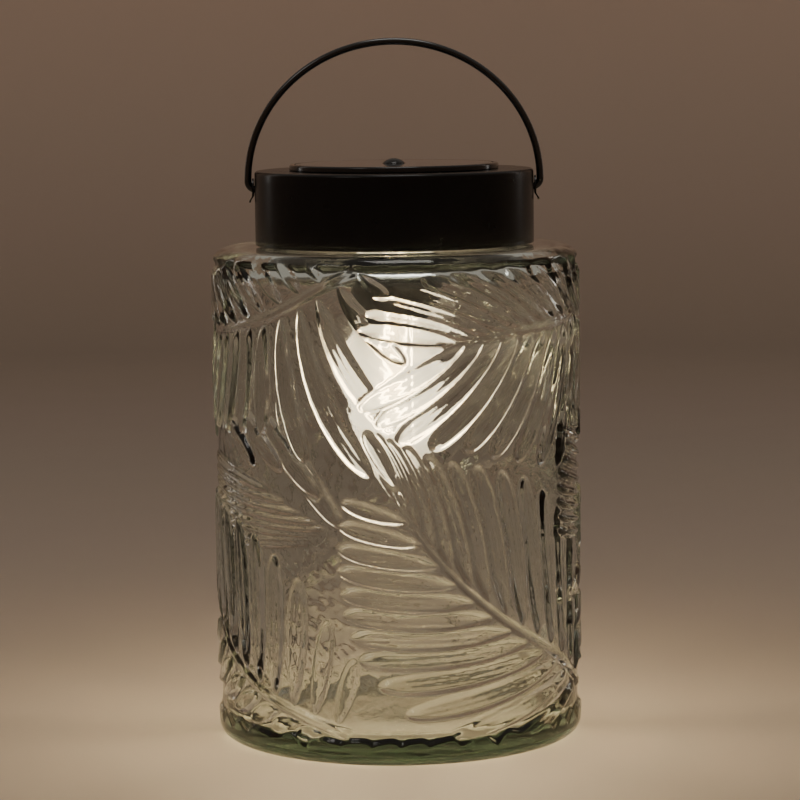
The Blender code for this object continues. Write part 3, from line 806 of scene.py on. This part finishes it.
def glass_jar():
    """The jar as one closed skin: inner wall, lip, threaded neck, shoulder, leaf relief, foot and punt."""
    neck = 46.5
    mouth = neck - 4.0
    inner = WALL_MM - 4.3
    floor_top = 8.3
    heel = 8
    lip_z = JAR_HIGH.z / MM
    lip = (neck - mouth) / 2
    inner_shoulder = SHOULDER_MM - 4.6
    inside = [(12, 8.9), (30, 8.5)]
    inside += arc((inner - heel, floor_top + heel), heel, -88, 0, 10)
    inside += [(inner, height) for height in np.linspace(24, inner_shoulder - 10, 12)]
    inside += arc((inner - heel, inner_shoulder - heel), heel, 0, 88, 10)
    inside += arc((mouth + 2, inner_shoulder + 2), 2, 268, 180, 6)
    inside += arc((neck - lip, lip_z - lip), lip, 180, 0, 14)
    outside = arc((neck + 1.5, SHOULDER_MM + 1.5), 1.5, 180, 270, 6)
    shoulder = (WALL_MM - SHOULDER_ROUND_MM, SHOULDER_MM - SHOULDER_ROUND_MM)
    bend = math.degrees(math.asin((WALL_TOP_MM - shoulder[1]) / SHOULDER_ROUND_MM))
    outside += arc(shoulder, SHOULDER_ROUND_MM, 90, bend + 4, 8)
    foot = arc((WALL_MM - 5, 5), 5, 0, -90, 12)
    foot += [(56, 0.0), (54, 0.2), (51, 1.0), (48, 1.5), (20, 1.6)]
    rows = [neck_thread(neck), ring_rows(outside, COLUMNS), wall_grid(), ring_rows(foot, COLUMNS)]
    mesh = stitched("jar_glass", ring_rows(inside, INNER_COLUMNS), np.vstack(rows))
    return stand_in(link("jar_glass", mesh, [pressed_glass()]), "jar", "jar_glass", "glass_jar")


# Lid, module and lamp


def lid_pieces(black):
    """The cap, with its hemmed lower edge, and an eyelet at each end of the bail."""
    low, high = (Vector(corner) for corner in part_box("lid_shell"))
    radius = high.x
    top = high.z
    bottom = low.z
    hole = 33.4 * MM
    sheet = 0.9 * MM
    profile = [(hole, top)]
    profile += [(radius - 9 * MM, top), (radius - 4 * MM, top)]
    profile += arc((radius - 1.3 * MM, top - 1.3 * MM), 1.3 * MM, 90, 0, 8)
    profile += [(radius, top - 4 * MM), (radius, bottom + 3 * MM)]
    profile += arc((radius - 0.5 * MM, bottom + 0.5 * MM), 0.5 * MM, 0, -90, 4)
    inner = radius - sheet
    profile += [(inner - 0.6 * MM, bottom), (inner - 0.6 * MM, bottom + 0.6 * MM), (inner, bottom + 1.2 * MM)]
    profile += [(inner, top - sheet), (hole, top - sheet)]
    shell = turned("lid_cap", profile, [black], steps=192)
    stand_in(shell, "lid", "lid_black", "lid_shell")
    for name, side in (("bail_ear_left", -1), ("bail_ear_right", 1)):
        eyelet(name, side, black)


def eyelet(node, side, black):
    """An oval pressed plate round the bail's end; its lower lip curls outwards."""
    low, high = (Vector(corner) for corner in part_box(node))
    inner = min(abs(low.x), abs(high.x))
    pivot_z = (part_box("push_nut_left")[0][2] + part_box("push_nut_left")[1][2]) / 2
    hole = 2.3 * MM
    half_width = high.y
    half_height = (high.z - low.z) / 2
    middle = (high.z + low.z) / 2 - pivot_z
    turns = np.linspace(0, 2 * math.pi, 64, endpoint=False)
    faces = []
    for share in np.linspace(0, 1, 9):
        y = ((1 - share) * hole + share * half_width) * np.cos(turns)
        z = (1 - share) * hole * np.sin(turns) + share * (middle + half_height * np.sin(turns))
        curl = 1.2 * MM * smooth_step(-z, 2.2 * MM, 4.6 * MM)
        faces.append(np.stack([inner + curl, y, z + pivot_z], axis=1))
    sheet = 0.6 * MM
    outer = [rows + np.array([sheet, 0, 0]) for rows in faces[::-1]]
    grid = np.array(faces + outer)
    grid[:, :, 0] *= side
    mesh = mesh_from_grid(f"{node}_plate", grid, None, None)
    outward(mesh)
    mesh.set_sharp_from_angle(angle=math.radians(50))
    stand_in(link(f"{node}_plate", mesh, [black]), "lid", "lid_black", node)


def seal():
    """The white silicone ring on the jar's lip, rounded all round."""
    low, high = (Vector(corner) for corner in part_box("seal_ring"))
    inner = 42.4 * MM
    edge = 0.6 * MM
    profile = arc((high.x - edge, high.z - edge), edge, 90, 0, 6)
    profile += arc((high.x - edge, low.z + edge), edge, 0, -90, 6)
    profile += arc((inner + edge, low.z + edge), edge, 270, 180, 6)
    profile += arc((inner + edge, high.z - edge), edge, 180, 90, 6)
    white = moulded_plastic("silicone_white", (0.74, 0.74, 0.71), 0.6)
    stand_in(turned("silicone_seal", profile, [white], steps=160), "seal", "seal_white", "seal_ring")


def thread_liner(plastic):
    """The cap's plastic liner, with the plain ridges that stand for its thread."""
    low, high = (Vector(corner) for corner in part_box("thread_ring"))
    root = 49.1 * MM
    crest = 48.45 * MM
    profile = [(high.x, high.z), (high.x, low.z), (root + 0.4 * MM, low.z), (root, low.z + 0.4 * MM)]
    for thread_z in THREAD_Z:
        for step in range(-4, 5):
            swell = math.exp(-((step / 2.0) ** 2))
            profile.append((root - (root - crest) * swell, thread_z + step * 0.35 * MM))
    profile += [(root, high.z - 0.4 * MM), (root + 0.4 * MM, high.z)]
    stand_in(turned("thread_liner", profile, [plastic], steps=160), "lid", "plastic_black", "thread_ring")


def screw_base():
    """The bulb's brass base, with its rolled thread."""
    low, high = (Vector(corner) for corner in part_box("bulb_base"))
    thread_top = high.z - 5.3 * MM
    thread_height = high.z - low.z - 6.8 * MM
    rolls = 4
    steps = 44
    profile = [(0.0, high.z), (4 * MM, high.z), (4.4 * MM, high.z - 0.8 * MM)]
    profile += [(high.x - 4 * MM, high.z - 2 * MM)]
    profile += arc((high.x - 1.5 * MM, thread_top), 1.5 * MM, 80, 0, 5)
    for step in range(1, steps):
        roll = 0.35 * MM * (1 - math.cos(2 * math.pi * rolls * step / steps))
        profile.append((high.x - roll, thread_top - thread_height * step / steps))
    profile += [(high.x, low.z + 1.0 * MM), (high.x - 1.0 * MM, low.z), (0.0, low.z)]
    brass = bare_metal("base_brass", (0.80, 0.62, 0.32), 0.3)
    stand_in(turned("screw_base", profile, [brass], steps=96), "lid", "base_brass", "bulb_base")


def glass_stem():
    """The flared glass stem that holds the filaments, with a bead at its foot."""
    low, high = (Vector(corner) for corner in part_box("filament_stem"))
    rod = 1.0 * MM
    flare = [(5.6, 0), (6.0, 0.5), (5.8, 2.6), (3.4, 4.6), (1.8, 6.6), (1.0, 9)]
    profile = [(0.0, high.z)] + [(radius * MM, high.z - depth * MM) for radius, depth in flare]
    profile += [(rod, low.z + 3 * MM)]
    profile += arc((0.0, low.z + 1.6 * MM), 1.6 * MM, 50, -80, 10)
    profile += [(0.0, low.z)]
    stem = turned("glass_stem", profile, [clear_glass("stem_glass")], steps=48)
    stand_in(stem, "lid", "bulb_glass", "filament_stem")


def filaments():
    phosphor = glowing_phosphor()
    for number in range(1, 5):
        node = f"led_filament_{number}"
        low, high = (Vector(corner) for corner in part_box(node))
        radius = (high.x - low.x) / 2
        profile = [(0.0, high.z)] + arc((0.0, high.z - radius), radius, 80, 0, 6)
        profile += arc((0.0, low.z + radius), radius, 0, -80, 6) + [(0.0, low.z)]
        stick = turned(f"led_stick_{number}", profile, [phosphor], steps=24)
        stick.data.transform(Matrix.Translation(((low.x + high.x) / 2, (low.y + high.y) / 2, 0)))
        stand_in(stick, "lid", "filament_yellow", node)


def paint(node, material):
    """Gives a CAD node a finished material in place of its plain one."""
    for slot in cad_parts[node].material_slots:
        slot.link = "OBJECT"
        slot.material = material


def clear_resin():
    nodes = Nodes("clear_resin")
    nodes.set(Transmission_Weight=1.0, IOR=1.5, Base_Color=(0.55, 0.56, 0.60, 1.0))
    nodes.roughness(nodes.noise(50.0), 0.02, 0.07)
    nodes.normal(nodes.bump(nodes.noise(90.0), strength=0.04, distance=0.0002))
    let_lamps_through(nodes, share=0.8)
    return nodes.material


def module_bezel():
    gloss = moulded_plastic("gloss_black", (0.010, 0.010, 0.011), 0.14, grain=400.0)
    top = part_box("solar_bezel")[1][2]
    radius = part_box("solar_bezel")[1][0]
    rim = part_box("panel_cover")[1][0] + 0.3 * MM
    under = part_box("lid_shell")[1][2] + 0.3 * MM
    edge = 0.8 * MM
    recess = top - 1.0 * MM
    pocket = recess - 1.1 * MM
    spigot = 33.0 * MM
    spigot_inner = spigot - 1.6 * MM
    spigot_end = BEZEL_PLATE_Z - 1.8 * MM
    profile = [(rim, top)]
    profile += arc((radius - edge, top - edge), edge, 90, 0, 8)
    profile += [(radius, under), (spigot, under), (spigot, spigot_end), (spigot_inner, spigot_end)]
    profile += [(spigot_inner, BEZEL_PLATE_Z), (BUTTON_HOLE, BEZEL_PLATE_Z), (BUTTON_HOLE, pocket)]
    profile += [(25.5 * MM, pocket), (26 * MM, recess), (rim, recess)]
    bezel = turned("module_bezel", profile, [gloss], steps=192)
    stand_in(bezel, "lid", "bezel_black", "solar_bezel")


def clear_cover():
    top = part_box("solar_bezel")[1][2]
    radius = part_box("panel_cover")[1][0]
    under = top - 0.7 * MM
    edge = 0.2 * MM
    profile = [(BUTTON_HOLE, top), (radius - edge, top), (radius, top - edge)]
    profile += [(radius, under), (BUTTON_HOLE, under)]
    cover = turned("clear_cover", profile, [clear_resin()], steps=192)
    stand_in(cover, "lid", "panel_resin", "panel_cover")


def button_dome():
    """The domed button, with the collar that its spring pushes up and the tip that meets the plunger."""
    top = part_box("push_button")[1][2]
    dome = 4.2 * MM
    rise = 1.8 * MM
    collar = 5.8 * MM
    tip = 1.8 * MM
    sphere = (dome**2 + rise**2) / (2 * rise)
    centre = top - sphere
    rim = math.degrees(math.asin((top - rise - centre) / sphere))
    profile = [(0.0, top)] + arc((0.0, centre), sphere, 88, rim, 14)
    profile += [(dome, COLLAR_TOP_Z), (collar, COLLAR_TOP_Z), (collar, COLLAR_BOTTOM_Z)]
    profile += [(tip, COLLAR_BOTTOM_Z), (tip, BUTTON_TIP_Z), (0.0, BUTTON_TIP_Z)]
    black = moulded_plastic("button_black", (0.01, 0.01, 0.01), 0.2, grain=300.0)
    button = turned("button_dome", profile, [black], steps=64)
    stand_in(button, "button", "button_black", "push_button")


def module_pieces():
    module_bezel()
    silicon = solar_silicon()
    paint("solar_cell_left", silicon)
    paint("solar_cell_right", silicon)
    clear_cover()
    button_dome()


def socket_collar(plastic):
    """The lamp socket: a cup with three fine grooves round it and a hole in its top."""
    low, high = (Vector(corner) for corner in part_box("lamp_socket"))
    radius = high.x
    inner = radius - 1.4 * MM
    hole = 6 * MM
    under = high.z - 2 * MM
    edge = 0.6 * MM
    profile = [(hole, high.z), (radius - edge, high.z), (radius, high.z - edge)]
    for depth in (7 * MM, 13 * MM, 19 * MM):
        groove = high.z - depth
        profile += [(radius, groove + 0.5 * MM), (radius - 0.35 * MM, groove), (radius, groove - 0.5 * MM)]
    profile += arc((radius - 0.7 * MM, low.z + 0.7 * MM), 0.7 * MM, 0, -90, 4)
    profile += [(inner, low.z), (inner, under), (hole, under)]
    collar = turned("socket_collar", profile, [plastic], steps=96)
    stand_in(collar, "lid", "plastic_black", "lamp_socket")


def bulb_envelope():
    """The bulb's glass: a half egg below its widest place and a soft shoulder up to its neck."""
    low, high = (Vector(corner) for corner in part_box("bulb_glass"))
    radius = high.x
    neck = 14.6 * MM
    shoulder = 17.5 * MM
    egg_steps = 24
    shoulder_steps = 12

    def skin(inset):
        points = []
        for step in range(1, egg_steps + 1):
            turn = math.radians(-90 + 90 * step / egg_steps)
            depth = BULB_WIDEST_Z - low.z - inset
            points.append(((radius - inset) * math.cos(turn), BULB_WIDEST_Z + depth * math.sin(turn)))
        for step in range(1, shoulder_steps + 1):
            share = step / shoulder_steps
            blend = (1 - math.cos(math.pi * share)) / 2
            points.append((radius - inset + (neck - radius) * blend, BULB_WIDEST_Z + shoulder * share))
        return points

    wall = 0.8 * MM
    profile = [(0.0, low.z + wall)] + skin(wall) + [(neck - wall, high.z), (neck, high.z)]
    profile += skin(0.0)[::-1] + [(0.0, low.z)]
    bulb = turned("bulb_envelope", profile, [lit_bulb_glass()], steps=96)
    stand_in(bulb, "lid", "bulb_glass", "bulb_glass")


def lamp_pieces(plastic):
    socket_collar(plastic)
    bulb_envelope()
    screw_base()
    glass_stem()
    filaments()


def bail_piece(black):
    """The bail's wire, drawn smooth along the CAD wire's centreline."""
    low, high = (Vector(corner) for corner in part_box("bail_handle"))
    wire = 1.35 * MM
    half = high.x - wire
    bend = 3.0 * MM
    spring_line = PIVOT_Z + bend
    top = high.z - wire
    end = 49.4 * MM
    right = [(end, PIVOT_Z)]
    right += arc((half - bend, spring_line), bend, -90, 0, 12)
    steps = 60
    for step in range(1, steps + 1):
        turn = math.pi / 2 * step / steps
        right.append((half * math.cos(turn), spring_line + (top - spring_line) * math.sin(turn)))
    path = [(-x, z) for x, z in right] + right[-2::-1]
    curve = bpy.data.curves.new("bail_wire", "CURVE")
    curve.dimensions = "3D"
    curve.bevel_depth = wire
    curve.bevel_resolution = 6
    curve.use_fill_caps = True
    spline = curve.splines.new("POLY")
    spline.points.add(len(path) - 1)
    for point, (x, z) in zip(spline.points, path):
        point.co = (x, 0.0, z, 1.0)
    spline.use_smooth = True
    wire_obj = bpy.data.objects.new("bail_wire", curve)
    bpy.context.scene.collection.objects.link(wire_obj)
    curve.materials.append(black)
    stand_in(wire_obj, "bail", "bail_black", "bail_handle")


def return_spring(steel):
    """The coil under the button. It stands on the circuit board."""
    low, high = (Vector(corner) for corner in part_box("button_spring"))
    wire = 0.3 * MM
    coil = high.x - wire
    foot = low.z + wire
    rise = high.z - low.z - 2 * wire
    coils = 3.5
    rows = 141
    around_wire = np.linspace(0, 2 * math.pi, 10, endpoint=False)
    up = np.array([0.0, 0.0, 1.0])
    grid = []
    for share in np.linspace(0, 1, rows):
        turn = 2 * math.pi * coils * share
        out = np.array([math.cos(turn), math.sin(turn), 0.0])
        middle = coil * out + (foot + rise * share) * up
        grid.append([middle + wire * (math.cos(step) * out + math.sin(step) * up) for step in around_wire])
    ends = [tuple(np.mean(grid[index], axis=0)) for index in (0, -1)]
    mesh = mesh_from_grid("return_spring", np.array(grid), *ends)
    outward(mesh)
    spring = stand_in(link("return_spring", mesh, [steel]), "lid", "plain_steel", "button_spring")
    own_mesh(spring)


def inner_pieces():
    plastic = moulded_plastic("housing_plastic", (0.022, 0.022, 0.023), 0.42)
    steel = bare_metal("plated_steel", (0.62, 0.62, 0.64), 0.28)
    seal()
    thread_liner(plastic)
    return_spring(steel)
    for name in ("battery_housing", "battery_door", "tact_switch"):
        paint(name, plastic)
    for number in (1, 2, 3):
        paint(f"housing_screw_{number}", steel)
    for name in ("contact_plate_negative", "contact_plate_positive", "push_nut_left", "push_nut_right"):
        paint(name, steel)
    paint("switch_plunger", moulded_plastic("plunger_white", (0.78, 0.78, 0.76), 0.4))
    paint("circuit_board", moulded_plastic("solder_mask", (0.02, 0.16, 0.07), 0.3))
    paint("battery", moulded_plastic("battery_sleeve", (0.05, 0.30, 0.12), 0.3))
    red = moulded_plastic("lead_red", (0.5, 0.02, 0.02), 0.45)
    dark = moulded_plastic("lead_black", (0.02, 0.02, 0.02), 0.45)
    for name in ("solar_lead_left", "solar_lead_right"):
        paint(name, red)
    for name in ("lamp_lead_left", "lamp_lead_right"):
        paint(name, dark)
    return plastic


# Studio


def soft_light(name, place, size, power, color):
    """A rectangular lamp turned to the middle of the jar; size is in metres and power in watts."""
    light = bpy.data.lights.new(name, "AREA")
    light.shape = "RECTANGLE"
    light.size = size[0]
    light.size_y = size[1]
    light.energy = power
    light.color = color
    obj = bpy.data.objects.new(name, light)
    obj.location = place
    aim = LAMP_TARGET - Vector(place)
    obj.rotation_euler = aim.to_track_quat("-Z", "Y").to_euler()
    bpy.context.scene.collection.objects.link(obj)
    return obj


def studio():
    """A pale floor that curves up, all the way round, into a plain warm-grey wall, and four soft lamps."""
    floor_radius = 1.5
    cove = 0.5
    wall_top = 1.3
    profile = [(0.0, 0.0)]
    profile += [(floor_radius * share, 0.0) for share in (0.1, 0.3, 0.6, 1.0)]
    profile += arc((floor_radius, cove), cove, -85, 0, 16)
    profile += [(floor_radius + cove, wall_top)]
    mesh = bpy.data.meshes.new("cyclorama")
    steps = 96
    points = [(0.0, 0.0, 0.0)]
    for radius, height in profile[1:]:
        for step in range(steps):
            turn = 2 * math.pi * step / steps
            points.append((radius * math.sin(turn), radius * math.cos(turn), height))
    faces = [(0, 1 + (step + 1) % steps, 1 + step) for step in range(steps)]
    for row in range(len(profile) - 2):
        low = 1 + row * steps
        high = low + steps
        for step in range(steps):
            turn = (step + 1) % steps
            faces.append((low + step, low + turn, high + turn, high + step))
    mesh.from_pydata(points, [], faces)
    mesh.shade_smooth()
    cyclorama = link("cyclorama", mesh)
    nodes = Nodes("studio_paint")
    axes = nodes.add("ShaderNodeSeparateXYZ")
    nodes.join(nodes.place(), axes.inputs[0])
    rise = nodes.range(axes.outputs["Z"], 0.0, 1.0, 0.0, 0.45)
    nodes.color(rise, (0.0, (0.33, 0.272, 0.225)), (1.0, (0.68, 0.515, 0.415)))
    nodes.roughness(nodes.noise(5.0), 0.55, 0.75)
    mesh.materials.append(nodes.material)

    world = bpy.data.worlds.new("studio")
    bpy.context.scene.world = world
    world.use_nodes = True
    background = world.node_tree.nodes["Background"]
    background.inputs["Color"].default_value = (0.84, 0.75, 0.66, 1.0)
    background.inputs["Strength"].default_value = 0.36

    soft_light("key", place=(-0.9, -0.9, 1.3), size=(0.4, 0.4), power=1.4, color=(1.0, 0.96, 0.91))
    soft_light("top", place=(0.05, -0.15, 1.5), size=(0.55, 0.55), power=3.4, color=(1.0, 0.97, 0.93))
    soft_light("left_strip", place=(-1.1, 0.75, 0.5), size=(0.06, 0.7), power=0.35, color=(1.0, 0.97, 0.93))
    soft_light("right_strip", place=(1.1, 0.75, 0.5), size=(0.06, 0.7), power=0.35, color=(1.0, 0.97, 0.93))


def lamp_glow():
    """The warm light that the filaments throw on what stands round them."""
    light = bpy.data.lights.new("bulb_glow", "POINT")
    light.energy = 0.5
    light.color = (1.0, 0.82, 0.58)
    light.shadow_soft_size = 12 * MM
    obj = bpy.data.objects.new("bulb_glow", light)
    obj.location = (0, 0, LAMP_MIDDLE_Z)
    obj.visible_transmission = False
    obj.visible_glossy = False
    bpy.context.scene.collection.objects.link(obj)
    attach(obj, "lid")


def camera():
    data = bpy.data.cameras.new("camera")
    data.lens = CAMERA_LENS
    data.sensor_width = 36.0
    data.shift_x = FRAME_SHIFT_X
    obj = bpy.data.objects.new("camera", data)
    pitch = math.radians(CAMERA_PITCH)
    obj.location = (0, -CAMERA_DISTANCE * math.cos(pitch), AIM_HEIGHT + CAMERA_DISTANCE * math.sin(pitch))
    look = Matrix.Rotation(math.pi / 2 - pitch, 4, "X") @ Matrix.Rotation(math.radians(CAMERA_ROLL), 4, "Z")
    obj.rotation_euler = look.to_euler()
    bpy.context.scene.collection.objects.link(obj)
    bpy.context.scene.camera = obj


camera()
studio()
lamp_glow()
glass_jar()
black_paint = satin_black("satin_black", roughness=0.22)
lid_pieces(black_paint)
module_pieces()
lamp_pieces(inner_pieces())
bail_piece(satin_black("bail_black", roughness=0.16, gloss=1.0))
